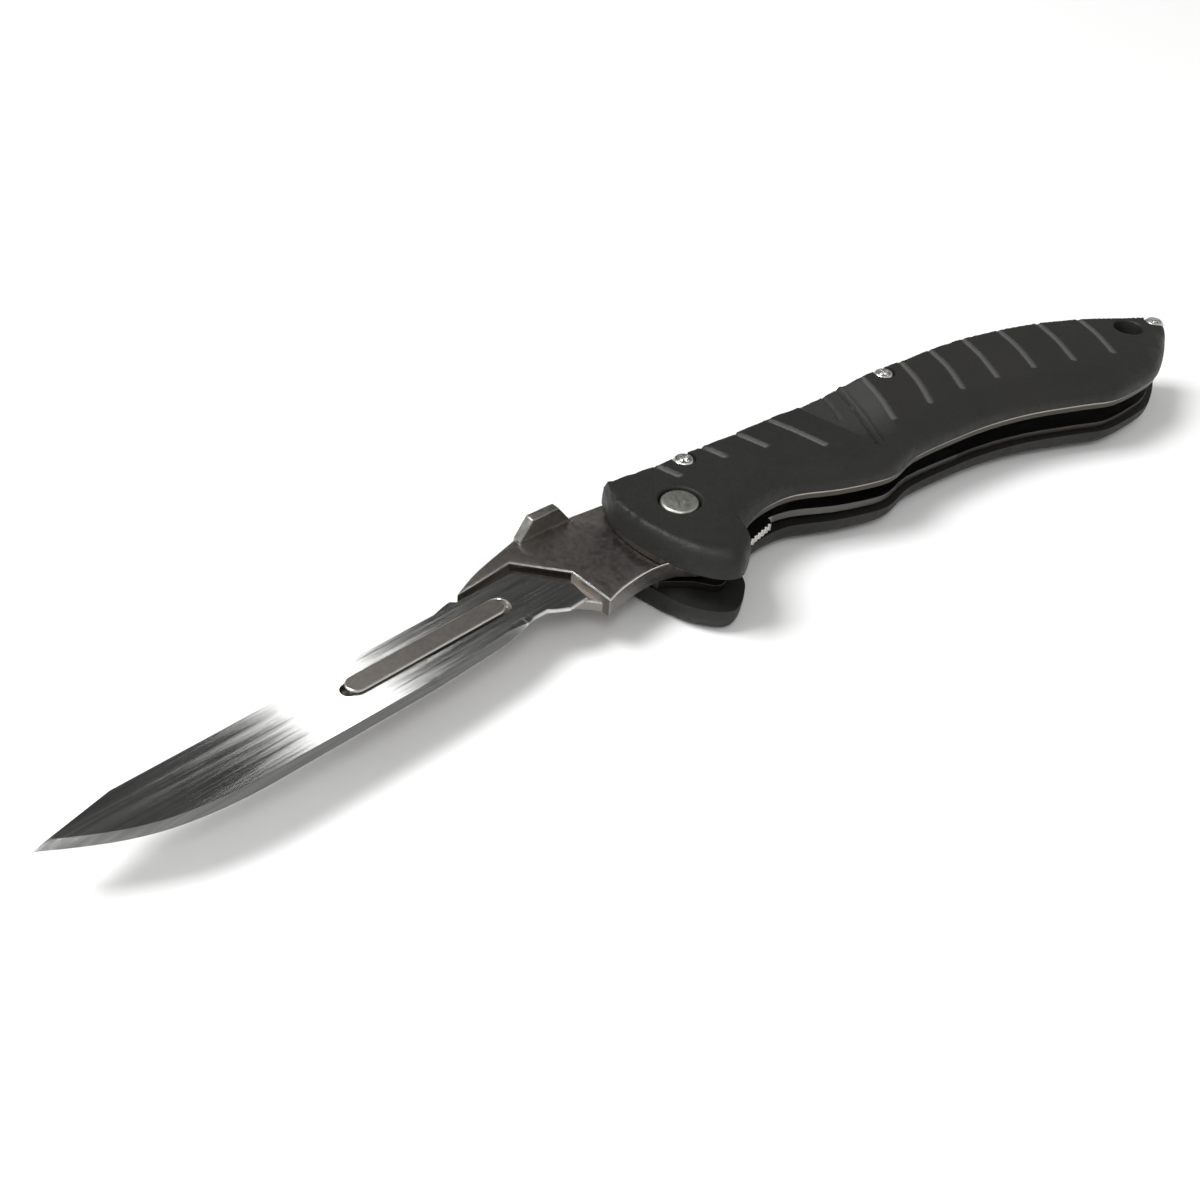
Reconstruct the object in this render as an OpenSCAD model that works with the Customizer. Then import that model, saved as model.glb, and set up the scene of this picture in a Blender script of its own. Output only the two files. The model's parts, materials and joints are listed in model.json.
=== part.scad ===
// Folding whittling knife with a replaceable blade.
// Plan view: +X runs from the blade tip to the butt, +Y to the spine, +Z out of the front scale.
// Shapes are drawn about the pivot axis and then moved so that the origin is the bottom centre.

/* [Handle] */
// Thickness of each handle scale
scale_t = 3.7; // [3.2:0.1:4.5]
// Thickness of each steel liner
liner_t = 1.1; // [0.8:0.1:1.4]
// Height of the crowned part of a scale, below its face
crown_h = 3.0; // [1.5:0.1:3.1]
// Steps that make up the crown
crown_steps = 4; // [3:1:8]
// Depth of the grip grooves
groove_depth = 0.45; // [0.2:0.05:0.8]
// Width of the grip grooves
groove_w = 0.75; // [0.4:0.05:1.2]
// Distance from the scale's rim in to the liner's edge
liner_inset = 0.25; // [0.1:0.05:0.5]
// How much further in the back liner's belly edge lies
back_inset = 0.65; // [0:0.05:0.8]

/* [Pivot and fasteners] */
// Radius of the pivot's visible head
pivot_head_r = 2.6; // [2.3:0.05:3]
// Radius of the pivot barrel
pivot_r = 1.8; // [1.5:0.05:2]
// Radial running clearance between barrel and blade holder
pivot_clear = 0.05; // [0.02:0.01:0.1]
// Thickness of the washers beside the tang
washer_t = 0.13; // [0.08:0.01:0.14]
// Radius of the washers
washer_r = 4.5; // [3.5:0.1:5]
// Radius of a handle screw's head
head_r = 1.6; // [1.3:0.05:1.8]
// Radius of a handle screw's thread
shank_r = 0.8; // [0.6:0.05:0.9]
// Radius of the stand-offs
standoff_r = 1.4; // [1.2:0.05:1.5]
// Radius of the lanyard hole
lanyard_r = 2.27; // [1.5:0.01:2.5]

/* [Blade holder] */
// Thickness of the blade holder
holder_t = 2.8; // [2.6:0.1:2.9]
// Thickness of the nose under the blade
nose_t = 1.5; // [1.3:0.05:1.6]
// Width of the rail's head
rail_w = 2.9; // [2.4:0.1:3]
// Width of the rail's neck, where it passes through the blade
neck_w = 2.0; // [1.6:0.1:2]
// Angle that the blade is set at to the handle
blade_angle = 3.5; // [0:0.5:6]
// Angle through which the blade folds
fold_max = 176; // [170:1:178]

/* [Blade] */
// Thickness of the blade
blade_t = 0.6; // [0.4:0.05:0.7]
// Width of the narrow front part of the blade's slot
slot_narrow = 2.2; // [2.1:0.05:2.5]
// Width of the wide rear part of the blade's slot
slot_wide = 3.3; // [3.1:0.1:3.6]

/* [Thumb plate] */
// Thickness of the thumb plate
plate_t = 1.5; // [1.2:0.1:2]
// Half height of the thumb plate
plate_h = 4.2; // [3.5:0.1:4.5]

/* [Lock] */
// Distance that the free end of the lock leaf springs into the slot
lock_rise = 1.2; // [0.8:0.05:1.3]
// Width of the saw cut that frees the leaf
kerf = 0.5; // [0.3:0.05:0.6]
// Radius of the detent ball
ball_r = 0.6; // [0.4:0.05:0.6]
// Height of the detent ball above the leaf
ball_proud = 0.3; // [0.2:0.05:0.4]
// Thumb teeth cut into the leaf's edge
teeth = 7; // [4:1:8]

/* [Hidden] */
$fn = 64;
eps = 0.01;
slot_h = 3.1;
total_t = 2 * scale_t + 2 * liner_t + slot_h;
mid_z = total_t / 2;
liner_z = scale_t;
slot_z = scale_t + liner_t;
holder_z = mid_z - holder_t / 2;
holder_top = mid_z + holder_t / 2;
nose_top = holder_z + nose_t;
blade_z = nose_top + 0.02;
blade_top = blade_z + blade_t;
rail_top = holder_top - 0.25;
curve_steps = 3;
// Gap round a pressed or screwed fit
fit_gap = 0.02;
// Height from which cuts run clear of a face
clear = 1;
// Depth that the pivot's heads sit in at, and the thickness of those heads
pivot_seat = 1.35;
pivot_sunk = 0.15;
pivot_head_t = 1.15;
pivot_bore_r = 1.2;
// The same for a handle screw, and how far its thread reaches into the stand-off
screw_seat = 1.1;
screw_sunk = 0.1;
screw_head_t = 0.95;
screw_reach = 1.4;

// Centres of the three handle screws: front, middle and rear
SCREWS = [[7.25, 6.8], [47.8, 5.6], [97.4, -9.9]];
LANYARD = [91.8, -8.6];
// Centre and length of the thumb plate's seat along the spine
plate_x = -14.1;
plate_y = 10.2;
plate_seat = 4.3;

// Corner-free stretches of the handle's outline: x, y, and how far the crown draws in there.
// Front edge, guard and finger notch, from the spine's front corner.
FRONT = [[-5.2, 9.3, 0.3], [-7.1, 5.2, 0.4], [-7.6, 0.3, 0.5], [-7.2, -4.0, 0.9],
  [-6.3, -8.3, 1.6], [-4.3, -11.8, 1.7], [-1.8, -13.4, 1.6], [0.9, -12.2, 1.5],
  [3.2, -10.3, 1.4], [4.3, -8.4, 1.4]];
// Belly edge, from the finger notch to the butt.
BELLY = [[4.7, -7.1, 1.6], [8.7, -5.4, 2.4], [13, -4.7, 2.8], [17.6, -5.2, 3.2],
  [23.7, -8, 3.8], [30, -10, 4], [33.5, -10.2, 4], [38.5, -9.1, 3.8], [46.5, -9.4, 3.8],
  [54.7, -10.3, 3.8], [62.9, -12.3, 3.8], [71.2, -15.5, 3.8], [76.5, -17.6, 3.6],
  [83.5, -17.8, 3.4], [88.5, -17.2, 3], [94, -14.7, 2], [98.2, -11.9, 1.1], [99.2, -10.1, 0.7],
  [98.5, -8.5, 0.5]];
// Spine edge, from the butt back to the front corner.
SPINE = [[97.3, -8, 0.5], [90, -3.1, 0.6], [84, 0.2, 0.6], [78, 2.5, 0.6], [70, 4.9, 0.6],
  [62, 6.1, 0.5], [54, 6.8, 0.5], [46, 7.2, 0.5], [40, 7.35, 0.5], [37.4, 7, 0.5],
  [32.4, 7.1, 0.5], [21.7, 7.5, 0.5], [9.6, 7.9, 0.4], [-2.2, 8.8, 0.3], [-5.2, 9.3, 0.3]];

// Grip grooves: x and y of the spine end, then of the belly end
GROOVES = [[2.8, 7.8, 3.7, 4.4], [11, 7.7, 12, 4], [17.25, 7.5, 18.5, 2.4],
  [23.5, 7.4, 25.5, -2.3], [44, 7.2, 38.9, -3.6], [52.4, 6.5, 46.9, -3.9],
  [59, 6.1, 54.1, -4.2], [66.1, 5.1, 61.2, -5.2], [73.2, 3.6, 68.4, -6.8],
  [80.4, 1, 75.4, -9.3], [87.2, -2.1, 82.6, -11.7]];
// The V between the two rows of grooves: its left side, its inner line and its double right side
CHEVRON = [[30.3, 7, 31.9, -4.4], [34.2, 6.3, 33.1, 2], [37.9, 5.9, 32.1, -5],
  [39.3, 6.2, 33.2, -5.8]];

function mix(a, b, t) = a + (b - a) * t;
// One point of a Catmull-Rom curve from b to c
function bend(a, b, c, d, t) = 0.5 * (2 * b + (c - a) * t
  + (2 * a - 5 * b + 4 * c - d) * t * t + (3 * b - a - 3 * c + d) * t * t * t);
// Smooth curve through a list of points, without its last point
function smooth(p, n = curve_steps) = [for (i = [0:len(p) - 2]) for (k = [0:n - 1])
  bend(p[max(i - 1, 0)], p[i], p[i + 1], p[min(i + 2, len(p) - 1)], k / n)];
function turn(p, a) = [p[0] * cos(a) - p[1] * sin(a), p[0] * sin(a) + p[1] * cos(a)];
function unit(v) = v / norm(v);
// Left-hand normal of a closed outline at vertex i, which points into an anticlockwise outline
function inward(p, i) = let (n = len(p), a = p[(i + n - 1) % n], b = p[(i + 1) % n],
  d = unit([b[0] - a[0], b[1] - a[1]])) [-d[1], d[0]];
function arc(r, a0, a1, n) = [for (k = [0:n]) r * [cos(mix(a0, a1, k / n)), sin(mix(a0, a1, k / n))]];

HANDLE = concat(smooth(FRONT), [FRONT[len(FRONT) - 1]], smooth(BELLY), [BELLY[len(BELLY) - 1]],
  smooth(SPINE));
belly_first = len(smooth(FRONT)) + 2;
belly_last = belly_first + len(smooth(BELLY)) - 5;
// The handle's outline drawn in by a share k of the crown, by a distance d all round, and by a
// further distance along the belly
function drawn_in(k, d = 0, belly = 0) = [for (i = [0:len(HANDLE) - 1])
  [HANDLE[i][0], HANDLE[i][1]] + inward(HANDLE, i)
  * (k * HANDLE[i][2] + d + (i >= belly_first && i <= belly_last ? belly : 0))];

// Blade, in its own lines: u along the spine towards the handle, v up to the spine
TIP = [-88.6, 5.9];
CUTTING_EDGE = [TIP, [-85, 3.5], [-81, 1.2], [-76.8, -0.5], [-72.3, -1.5], [-67.8, -2],
  [-63.8, -2.1]];
HEEL_EDGE = [[-43.3, -2.2], [-38.5, -2], [-31.5, -1.6], [-28.1, -0.9], [-25.9, -0.3],
  [-23.7, -0.3]];
BLADE = concat(smooth(CUTTING_EDGE), [[-63.8, -2.1]], smooth(HEEL_EDGE),
  [[-23.7, -0.3], [-22.6, -1.1], [-21.2, -1.9], [-18.2, -1.8], [-17.6, 1.4], [-21.5, 7.3],
  [-22.5, 8.1], [-31.2, 8.2], [-31.8, 8.8], [-32.9, 8.65], [-34.8, 8.15], [-78.8, 8.15]]);
// Ends of the rail, and the slot's three stations: front, neck and rear
rail_v = 4.1;
rail_front = -51;
rail_rear = -27.1;
slot_front = -50.6;
slot_neck = -40.3;
slot_rear = -28;

// Full-thickness part of the blade holder: shoulders, front step and tang
tang_r = 7.3;
HOLDER = concat([[-31.2, 6.7], [-22, 7.8], [-16.9, 1.6]],
  smooth([[-16.7, -5.7], [-13.8, -4.8], [-9.6, -4.2], [-6.7, -4.3], [-4.4, -4.9]]),
  [[-4.4, -4.9], [-2, -6.6]], arc(tang_r, -92, -62, 4),
  [[5.9, -5.2], [7.2, -4], [7.2, -1.2]], arc(tang_r, -4, 46, 8),
  [[6.9, 7.7], [1, 9], [-4, 10.3], [plate_x + plate_seat + 0.1, 10.8],
  [plate_x + plate_seat, plate_y], [plate_x - plate_seat, plate_y],
  [plate_x - plate_seat - 0.1, 11.3]],
  smooth([[-18.5, 11.3], [-21.2, 10.5], [-24.3, 9.6], [-27.5, 8.5], [-31.2, 6.7]]));
// What the liners leave out of the guard, so that they stay hidden behind it
far_y = -30;
GUARD_CUT = [[-12, -3], [-6, -4.4], [-2.9, -6.9], [-1.4, -9], [-0.5, -9.5], [0.5, -9.3],
  [1.6, -8.3], [2.6, -7.8], [6.3, -7.3], [6.3, far_y], [-12, far_y]];
// Thin nose that the blade lies on
NOSE = concat([for (p = [[-31.5, 7.6], [-53, 7], [-54.5, 5.5], [-54.5, 3.3], [-53, 1.8],
  [-31.5, 1.3]]) turn(p, blade_angle)],
  smooth([[-29, -0.4], [-23, -0.6], [-19.2, -1.8], [-16.2, -5]]),
  [[-16.2, -5], [-14, -4], [-14, 4], [-20, 9.5], [-28.5, 7.8]]);

lock_root_x = 50;
lock_end_x = 7.3;
lock_y = -1.2;
LEAF = [[lock_end_x, lock_y], [lock_end_x, far_y], [lock_root_x, far_y], [lock_root_x, -4.6],
  [lock_root_x - 2, -3.9]];
// Tab of the leaf that the thumb pushes, and the line of its teeth
TEETH = [[lock_end_x, -6.5], [13.4, -5]];
THUMB_TAB = [[lock_end_x, -3.3], TEETH[0], [9.8, -5.75], TEETH[1], [14, -4.2], [14, -3.3]];
lock_tilt = asin(lock_rise / (lock_root_x - lock_end_x));
DETENT = [9.6, -3.2];

plate_top_y = plate_y + plate_t;
tip_x = turn(TIP, blade_angle)[0];
butt_x = max([for (p = HANDLE) p[0]]);
belly_y = min([for (p = HANDLE) p[1]]);
ORIGIN = [(tip_x + butt_x) / 2, (plate_top_y + belly_y) / 2];

module at_origin() { translate([-ORIGIN[0], -ORIGIN[1], 0]) children(); }
module to_back() { translate([0, 0, total_t]) mirror([0, 0, 1]) children(); }
module slab(z0, z1) { translate([0, 0, z0]) linear_extrude(z1 - z0) children(); }
module at_blade() { rotate([0, 0, blade_angle]) children(); }

// A straight cut with round ends along g = [x0, y0, x1, y1]
module cut_line(g, w) {
  d = [g[2] - g[0], g[3] - g[1]];
  translate([g[0], g[1]]) rotate(atan2(d[1], d[0])) {
    translate([0, -w / 2]) square([norm(d), w]);
    circle(d = w);
    translate([norm(d), 0]) circle(d = w);
  }
}

// Holes through the scales and liners: pivot, lanyard hole and screws
module bores() {
  circle(r = pivot_r + fit_gap);
  translate(LANYARD) circle(r = lanyard_r);
  for (s = SCREWS) translate(s) circle(r = shank_r + 0.05);
}

// Handle scale, drawn with its face up at total_t
module handle_scale() {
  base = total_t - scale_t;
  rim_top = total_t - crown_h;
  step = crown_h / crown_steps;
  difference() {
    union() {
      slab(base, rim_top) polygon(drawn_in(0));
      for (k = [1:crown_steps]) {
        t = (k - 0.5) / crown_steps;
        slab(rim_top + (k - 1) * step, rim_top + k * step) polygon(drawn_in(1 - sqrt(1 - t * t)));
      }
    }
    slab(base - clear, total_t + clear) bores();
    slab(total_t - pivot_seat, total_t + clear) circle(r = pivot_head_r + 0.35);
    slab(total_t - screw_seat, total_t + clear)
      for (s = SCREWS) translate(s) circle(r = head_r + 0.1);
    slab(total_t - groove_depth, total_t + clear) {
      for (g = GROOVES) cut_line(g, groove_w);
      for (g = CHEVRON) cut_line(g, groove_w);
    }
  }
}
module front_scale() { color("#2f2f2c") at_origin() handle_scale(); }
module back_scale() { color("#2f2f2c") at_origin() to_back() handle_scale(); }

module liner_plan(belly) {
  difference() {
    polygon(drawn_in(0, liner_inset, belly));
    polygon(GUARD_CUT);
    bores();
  }
}
module front_liner() {
  color("#a9a9a4") at_origin() slab(total_t - scale_t - liner_t, total_t - scale_t)
    liner_plan(0);
}
// The back liner, with the window that the lock leaf is cut from
module back_liner() {
  window = [[lock_end_x - kerf, lock_y + kerf], [lock_end_x - kerf, far_y],
    [lock_root_x + 0.05, far_y], [lock_root_x + 0.05, -4.4], [lock_root_x - 1.9, -3.9 + kerf]];
  color("#a9a9a4") at_origin() slab(liner_z, slot_z) difference() {
    liner_plan(back_inset);
    polygon(window);
  }
}

// Tilts a shape about the leaf's root, into the slot
module sprung() {
  translate([lock_root_x, 0, liner_z + liner_t / 2]) rotate([0, lock_tilt, 0])
    translate([-lock_root_x, 0, -liner_z - liner_t / 2]) children();
}
module lock_leaf() {
  color("#b4b4ae") at_origin() sprung() slab(liner_z, slot_z) difference() {
    union() {
      intersection() {
        polygon(drawn_in(0, liner_inset, back_inset));
        polygon(LEAF);
      }
      polygon(THUMB_TAB);
    }
    for (k = [0:teeth - 1]) translate(mix(TEETH[0], TEETH[1], (k + 0.5) / teeth)) circle(r = 0.28);
    translate(DETENT) circle(r = ball_r);
  }
}
module detent_ball() {
  color("#c8c8c4") at_origin() sprung()
    translate([DETENT[0], DETENT[1], slot_z + ball_proud - ball_r]) sphere(r = ball_r);
}

module standoff(i) {
  color("#8e8e8a") at_origin() translate(SCREWS[i]) difference() {
    slab(slot_z, slot_z + slot_h) circle(r = standoff_r);
    slab(slot_z - clear, slot_z + slot_h + clear) circle(r = shank_r + fit_gap);
  }
}
module standoff_front() { standoff(0); }
module standoff_middle() { standoff(1); }
module standoff_rear() { standoff(2); }

// A raised-edge round head of radius r, with its top at z = 0
module disc_head(r, t, edge) {
  rotate_extrude() polygon([[0, -t], [r, -t], [r, -edge], [r - edge, 0], [0, 0]]);
}
// Cross recess cut down from z = 0
module cross_recess(size, depth) {
  for (a = [0, 90]) rotate(a) translate([-size / 2, -size / 7, -depth])
    cube([size, size / 3.5, depth + clear]);
}
module pivot_barrel() {
  color("#6b6d67") at_origin() translate([0, 0, total_t - pivot_sunk]) difference() {
    union() {
      disc_head(pivot_head_r, pivot_head_t, 0.25);
      translate([0, 0, -9.5]) cylinder(r = pivot_r, h = 9);
    }
    translate([0, 0, -10]) cylinder(r = pivot_bore_r, h = 8);
  }
}
module pivot_screw() {
  color("#6b6d67") at_origin() to_back() translate([0, 0, total_t - pivot_sunk]) difference() {
    union() {
      disc_head(pivot_head_r, pivot_head_t, 0.25);
      translate([0, 0, -7]) cylinder(r = pivot_bore_r - fit_gap, h = 6.5);
    }
    cross_recess(2.6, 0.8);
  }
}
module washer(z) {
  color("#a8895c") at_origin() translate([0, 0, z]) difference() {
    cylinder(r = washer_r, h = washer_t);
    translate([0, 0, -clear]) cylinder(r = pivot_r + pivot_clear, h = washer_t + 2 * clear);
  }
}
module back_washer() { washer(slot_z + eps); }
module front_washer() { washer(slot_z + slot_h - eps - washer_t); }

module handle_screw(i) {
  translate([SCREWS[i][0], SCREWS[i][1], total_t - screw_sunk]) difference() {
    union() {
      disc_head(head_r, screw_head_t, 0.4);
      translate([0, 0, screw_sunk - scale_t - liner_t - screw_reach]) cylinder(r = shank_r, h = 5.5);
    }
    cross_recess(1.9, 0.6);
  }
}
module front_screw(i) { color("#c9c9c6") at_origin() handle_screw(i); }
module back_screw(i) { color("#c9c9c6") at_origin() to_back() handle_screw(i); }

module rail_plan(w) {
  cut_line([rail_front + rail_w / 2, rail_v, rail_rear - rail_w / 2, rail_v], w);
}
module blade_holder() {
  color("#5e5c57") at_origin() difference() {
    union() {
      slab(holder_z, holder_top) polygon(HOLDER);
      slab(holder_z, nose_top) polygon(NOSE);
      at_blade() {
        slab(nose_top - eps, blade_top + 0.1) rail_plan(neck_w);
        slab(blade_top + 0.05, rail_top) rail_plan(rail_w);
      }
    }
    slab(holder_z - clear, holder_top + clear) {
      circle(r = pivot_r + pivot_clear);
      translate(SCREWS[0]) circle(r = standoff_r + 0.06);
    }
    // Dimple that the detent ball drops into when the knife is shut
    slab(holder_z - clear, holder_z + ball_proud + 0.1)
      translate(turn(DETENT, -fold_max)) circle(r = ball_r + 0.2);
    translate([plate_x, plate_y + 1, mid_z]) rotate([90, 0, 0]) cylinder(r = 0.72, h = 5);
  }
}

module blade() {
  color("#8f908d") at_origin() at_blade() slab(blade_z, blade_top) difference() {
    polygon(BLADE);
    cut_line([slot_front, rail_v, slot_neck, rail_v], slot_narrow);
    cut_line([slot_neck, rail_v, slot_rear, rail_v], slot_wide);
  }
}

module thumb_plate() {
  outline = [[-plate_seat, -holder_t / 2], [-2.2, -plate_h], [2.2, -plate_h],
    [plate_seat, -holder_t / 2], [plate_seat, holder_t / 2], [2.2, plate_h], [-2.2, plate_h],
    [-plate_seat, holder_t / 2]];
  color("#4a4946") at_origin() translate([plate_x, plate_top_y, mid_z]) rotate([90, 0, 0])
    difference() {
      linear_extrude(plate_t) polygon(outline);
      translate([0, 0, -clear]) cylinder(r = 0.75, h = plate_t + 2 * clear);
      translate([0, 0, -clear]) cylinder(r = 1.35, h = clear + 0.8);
    }
}
module thumb_plate_screw() {
  color("#c9c9c6") at_origin() translate([plate_x, plate_top_y - 0.05, mid_z]) rotate([-90, 0, 0])
    difference() {
      union() {
        disc_head(1.3, 0.75, 0.15);
        translate([0, 0, -5]) cylinder(r = 0.7, h = 4.5);
      }
      cross_recess(1.5, 0.45);
    }
}

back_scale();
front_scale();
back_liner();
front_liner();
lock_leaf();
detent_ball();
standoff_front();
standoff_middle();
standoff_rear();
pivot_barrel();
pivot_screw();
back_washer();
front_washer();
blade_holder();
blade();
thumb_plate();
thumb_plate_screw();
front_screw(0);  // front_screw_1
front_screw(1);  // front_screw_2
front_screw(2);  // front_screw_3
back_screw(0);  // back_screw_1
back_screw(1);  // back_screw_2
back_screw(2);  // back_screw_3
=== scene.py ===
"""Looks of the folding whittling knife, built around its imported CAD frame.

Lengths here are in millimetres about the pivot axis, with height above the back scale's face;
at() turns them into the frame's metres.
"""
import json
import math

import bmesh
import bpy
import numpy as np
from mathutils import Matrix, Quaternion, Vector
from mathutils.geometry import delaunay_2d_cdt


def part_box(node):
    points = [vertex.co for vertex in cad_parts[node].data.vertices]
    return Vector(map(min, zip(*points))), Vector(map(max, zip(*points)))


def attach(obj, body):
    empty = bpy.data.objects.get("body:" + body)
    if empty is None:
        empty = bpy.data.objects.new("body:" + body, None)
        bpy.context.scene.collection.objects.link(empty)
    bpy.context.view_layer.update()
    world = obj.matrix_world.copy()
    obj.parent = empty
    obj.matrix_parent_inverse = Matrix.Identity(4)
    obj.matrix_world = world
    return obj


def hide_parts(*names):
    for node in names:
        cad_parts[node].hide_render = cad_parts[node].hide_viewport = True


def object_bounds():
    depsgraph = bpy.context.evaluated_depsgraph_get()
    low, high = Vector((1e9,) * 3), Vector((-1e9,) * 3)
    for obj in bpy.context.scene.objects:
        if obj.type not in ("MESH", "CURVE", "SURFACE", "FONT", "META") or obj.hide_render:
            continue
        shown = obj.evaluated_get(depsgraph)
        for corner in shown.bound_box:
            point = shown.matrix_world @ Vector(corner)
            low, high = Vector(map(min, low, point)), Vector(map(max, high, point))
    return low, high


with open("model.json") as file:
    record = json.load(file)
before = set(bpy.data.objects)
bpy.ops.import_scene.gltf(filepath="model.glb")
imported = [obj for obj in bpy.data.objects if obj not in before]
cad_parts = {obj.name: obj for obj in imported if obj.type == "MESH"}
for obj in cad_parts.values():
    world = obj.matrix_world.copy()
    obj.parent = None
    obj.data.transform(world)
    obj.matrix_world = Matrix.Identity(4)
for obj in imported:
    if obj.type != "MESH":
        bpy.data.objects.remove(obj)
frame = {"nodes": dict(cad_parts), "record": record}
cad_low, cad_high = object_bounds()

MM = 0.001
NODES = frame["nodes"]
RECORD = frame["record"]
BODY_OF = {n: b for b, nodes in RECORD["behaviour"]["bodies"].items() for n in nodes}
SLOT_OF = {s["node"]: s["material_slot"] for s in RECORD["subparts"]}


def middle(node):
    low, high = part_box(node)
    return (Vector(low) + Vector(high)) / 2


PIVOT = middle("pivot_barrel")


def at(x, y, z):
    """A point in millimetres about the pivot, in the frame's metres."""
    return Vector((PIVOT.x + x * MM, PIVOT.y + y * MM, z * MM))


def top_of(node):
    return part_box(node)[1][2] / MM


def base_of(node):
    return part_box(node)[0][2] / MM


HANDLE_TOP = top_of("front_scale")
SCALE_BASE = base_of("front_scale")
BLADE_BASE, BLADE_TOP = base_of("blade"), top_of("blade")
SCREWS = [(middle(f"front_screw_{i}") - PIVOT) / MM for i in (1, 2, 3)]
LANYARD = (Vector(RECORD["mounts"][0]["pos_m"]) - PIVOT) / MM
LANYARD_R = RECORD["mounts"][0]["dims"]["r_mm"]

# ---------------------------------------------------------------- camera

# Place in millimetres, with its height above the front scale's face, and angles in degrees
CAM_HEIGHT = 109.5
CAM_X, CAM_Y = -114.5, -105.8
CAM_YAW, CAM_PITCH, CAM_ROLL = 46.21, -39.3, 4.2
CAM_LENS = 43.62


def make_camera():
    data = bpy.data.cameras.new("camera")
    data.lens = CAM_LENS
    data.sensor_width = 36
    data.clip_start, data.clip_end = 0.01, 20
    camera = bpy.data.objects.new("camera", data)
    bpy.context.scene.collection.objects.link(camera)
    yaw, pitch = math.radians(CAM_YAW), math.radians(CAM_PITCH)
    ahead = Vector((math.cos(yaw) * math.cos(pitch), math.sin(yaw) * math.cos(pitch),
                    math.sin(pitch)))
    right = Vector((math.sin(yaw), -math.cos(yaw), 0))
    up = right.cross(ahead)
    roll = math.radians(CAM_ROLL)
    right, up = (right * math.cos(roll) + up * math.sin(roll),
                 up * math.cos(roll) - right * math.sin(roll))
    turn = Matrix((right, up, -ahead)).transposed().to_4x4()
    camera.matrix_world = Matrix.Translation(at(CAM_X, CAM_Y, HANDLE_TOP + CAM_HEIGHT)) @ turn
    bpy.context.scene.camera = camera


# ---------------------------------------------------------------- node helpers


class Shader:
    """A short way to write a procedural material."""

    def __init__(self, name):
        self.material = bpy.data.materials.new(name)
        self.material.use_nodes = True
        self.tree = self.material.node_tree
        self.tree.nodes.clear()
        self.out = self.add("ShaderNodeOutputMaterial")
        self.bsdf = self.add("ShaderNodeBsdfPrincipled")
        self.join(self.bsdf, "BSDF", self.out, "Surface")
        self.coords = self.add("ShaderNodeTexCoord")
        self.last_bump = None

    def add(self, kind, **values):
        node = self.tree.nodes.new(kind)
        for key, value in values.items():
            if hasattr(node, key):
                setattr(node, key, value)
            else:
                node.inputs[key.replace("_", " ")].default_value = value
        return node

    def join(self, a, out, b, into):
        self.tree.links.new(a.outputs[out], b.inputs[into])

    def set(self, **values):
        for key, value in values.items():
            self.bsdf.inputs[key.replace("_", " ")].default_value = value

    def scaled(self, scale, turn=0.0):
        """Object coordinates stretched by scale, after a turn about Z in degrees."""
        turned = self.add("ShaderNodeMapping")
        turned.inputs["Rotation"].default_value = (0, 0, math.radians(turn))
        self.join(self.coords, "Object", turned, "Vector")
        mapped = self.add("ShaderNodeMapping")
        mapped.inputs["Scale"].default_value = scale
        self.join(turned, "Vector", mapped, "Vector")
        return mapped

    def noise(self, scale, detail=3.0, stretch=(1, 1, 1), turn=0.0, roughness=0.5):
        node = self.add("ShaderNodeTexNoise", Scale=scale, Detail=detail, Roughness=roughness)
        self.join(self.scaled(stretch, turn), "Vector", node, "Vector")
        return node, "Fac"

    def cells(self, scale, feature="F1"):
        node = self.add("ShaderNodeTexVoronoi", feature=feature, Scale=scale)
        self.join(self.scaled((1, 1, 1)), "Vector", node, "Vector")
        return node, "Distance"

    def ramp(self, source, stops):
        """Colour or grey along a ramp; stops are (place, colour or grey)."""
        node = self.add("ShaderNodeValToRGB")
        elements = node.color_ramp.elements
        while len(elements) < len(stops):
            elements.new(0.5)
        for element, (place, tone) in zip(elements, stops):
            element.position = place
            element.color = (*tone, 1) if isinstance(tone, tuple) else (tone, tone, tone, 1)
        self.join(source[0], source[1], node, "Fac")
        return node, "Color"

    def mix(self, fac, a, b, blend="MIX"):
        node = self.add("ShaderNodeMix", data_type="RGBA", blend_type=blend)
        if isinstance(fac, tuple):
            self.join(fac[0], fac[1], node, "Factor")
        else:
            node.inputs["Factor"].default_value = fac
        for value, socket in ((a, 6), (b, 7)):
            if isinstance(value[0], bpy.types.Node):
                self.tree.links.new(value[0].outputs[value[1]], node.inputs[socket])
            else:
                node.inputs[socket].default_value = (*value, 1)
        return node, 2

    def colour(self, source):
        self.tree.links.new(source[0].outputs[source[1]], self.bsdf.inputs["Base Color"])

    def rough(self, source):
        self.tree.links.new(source[0].outputs[source[1]], self.bsdf.inputs["Roughness"])

    def bump(self, source, height_mm, strength=1.0):
        node = self.add("ShaderNodeBump", Strength=strength, Distance=height_mm * MM)
        self.tree.links.new(source[0].outputs[source[1]], node.inputs["Height"])
        if self.last_bump:
            self.join(self.last_bump, "Normal", node, "Normal")
        self.last_bump = node
        self.join(node, "Normal", self.bsdf, "Normal")


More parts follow.
